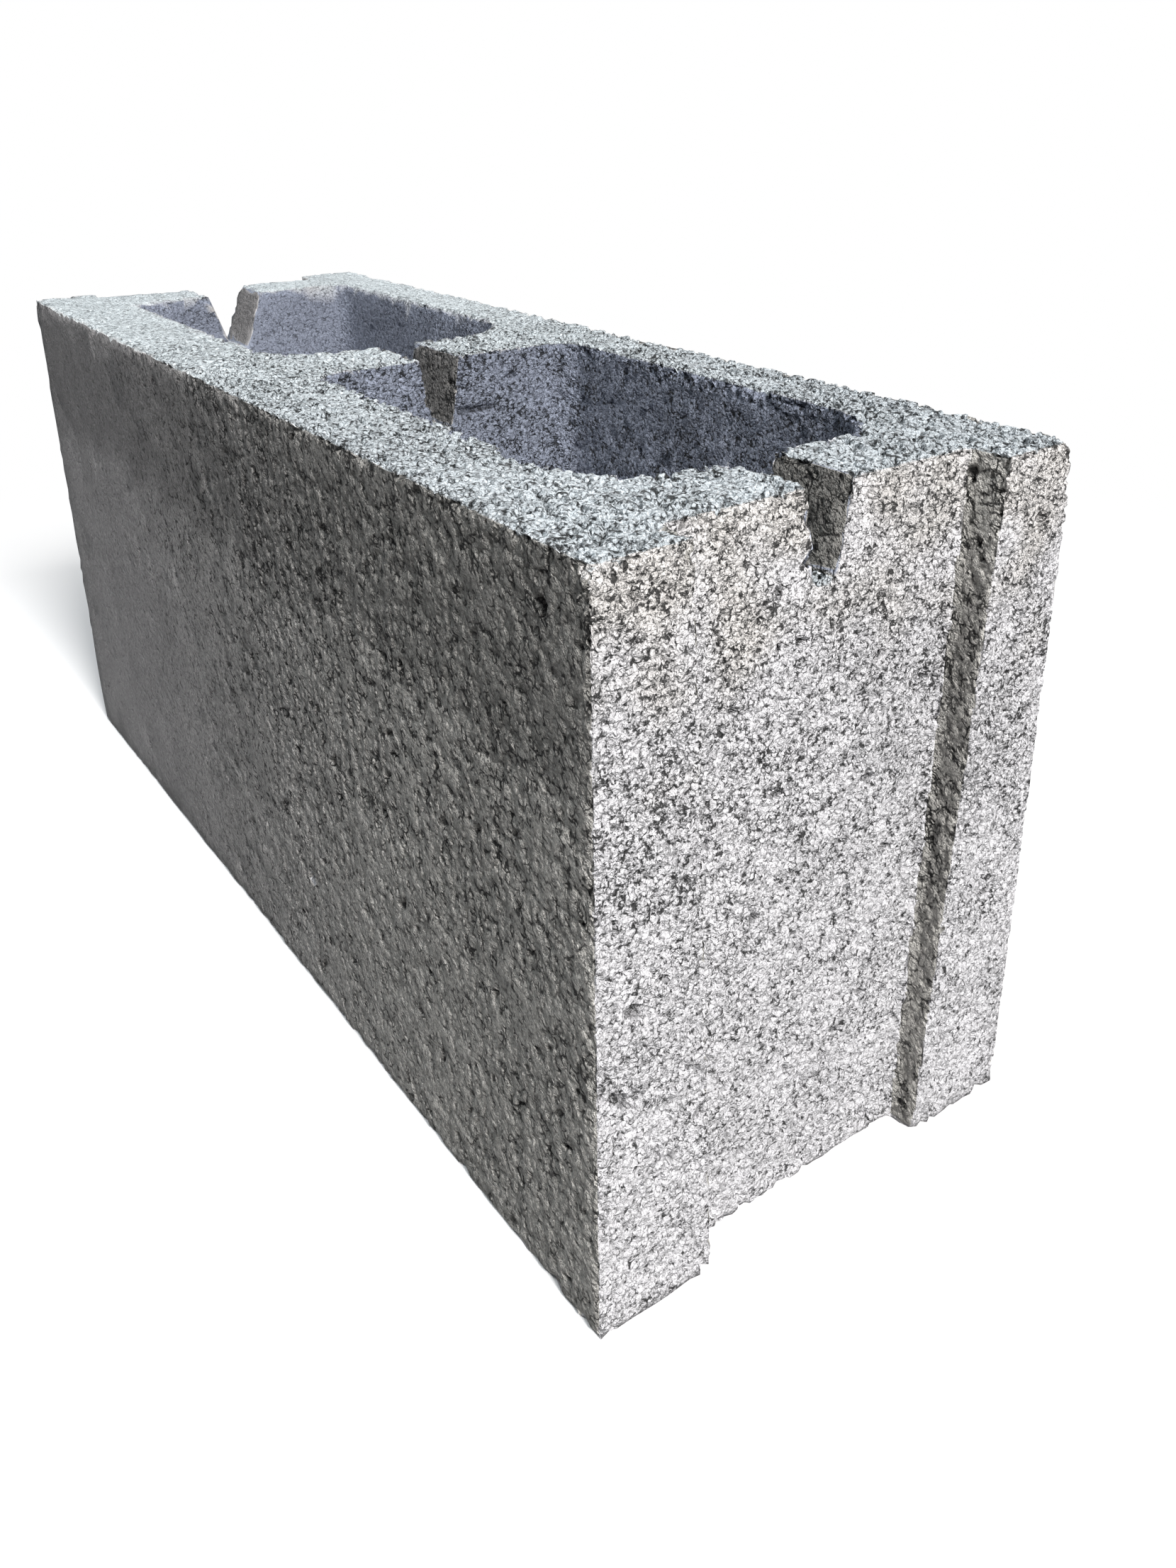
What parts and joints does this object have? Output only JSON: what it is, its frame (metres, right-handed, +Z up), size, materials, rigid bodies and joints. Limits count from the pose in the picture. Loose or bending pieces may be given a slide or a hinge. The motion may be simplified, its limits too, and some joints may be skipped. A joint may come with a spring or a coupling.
{
  "type": "hollow concrete block",
  "caption": "Moulded hollow concrete block with two open cores, bar slots across the tops of its webs and a recess in each end.",
  "frame": {"origin": "centre of the bed face, on the surface that the block stands on, below the middle of the block", "axes": "+X along the length, +Y across the wall, +Z up; the bar slots are in the top"},
  "size_m": [0.39, 0.14, 0.19],
  "materials": {
    "concrete": "open-textured grey concrete"
  },
  "bodies": {
    "root": {"block": "concrete"}
  },
  "joints": []
}
